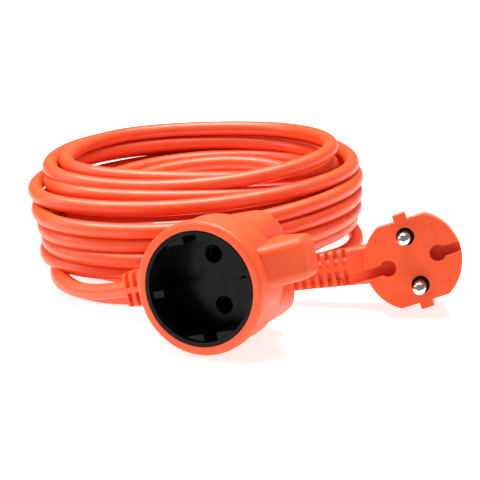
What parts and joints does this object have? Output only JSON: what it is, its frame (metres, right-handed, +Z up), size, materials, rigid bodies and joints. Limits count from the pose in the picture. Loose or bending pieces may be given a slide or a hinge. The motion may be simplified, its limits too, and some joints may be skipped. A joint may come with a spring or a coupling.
{
  "type": "extension cord",
  "caption": "Moulded two-wire extension cord: round socket with a black well, contour plug with two round pins, and the cord in an oval coil.",
  "frame": {"origin": "on the floor, under the middle of the socket's bounding box", "axes": "+Z up; the socket's mouth faces -Y and tips up six degrees; the socket is longest along X, from strain relief at -X to finger grip at +X"},
  "size_m": [0.1832, 0.1787, 0.0503],
  "materials": {
    "orange_pvc": "moulded soft orange PVC with a fine satin surface",
    "orange_sheath": "extruded orange PVC sheath, slightly glossy",
    "black_plastic": "moulded black plastic, satin",
    "nickel": "nickel plated brass, polished by use",
    "brass": "stamped brass",
    "copper": "twisted bare copper strands",
    "brown_insulation": "brown core insulation",
    "blue_insulation": "blue core insulation"
  },
  "bodies": {
    "root": {"socket_overmould": "orange_pvc", "socket_insert": "black_plastic", "socket_rear_cover": "black_plastic", "socket_contact_line": "brass", "socket_contact_neutral": "brass", "socket_conductor_line": "copper", "socket_conductor_neutral": "copper", "socket_core_line": "brown_insulation", "socket_core_neutral": "blue_insulation", "socket_sheath": "orange_sheath", "plug_overmould": "orange_pvc", "plug_bridge": "black_plastic", "plug_pin_line": "nickel", "plug_pin_neutral": "nickel", "plug_conductor_line": "copper", "plug_conductor_neutral": "copper", "plug_core_line": "brown_insulation", "plug_core_neutral": "blue_insulation", "plug_sheath": "orange_sheath", "cord_socket_lead": "orange_sheath", "cord_plug_lead": "orange_sheath", "cord_coil": "orange_sheath"}
  },
  "joints": []
}
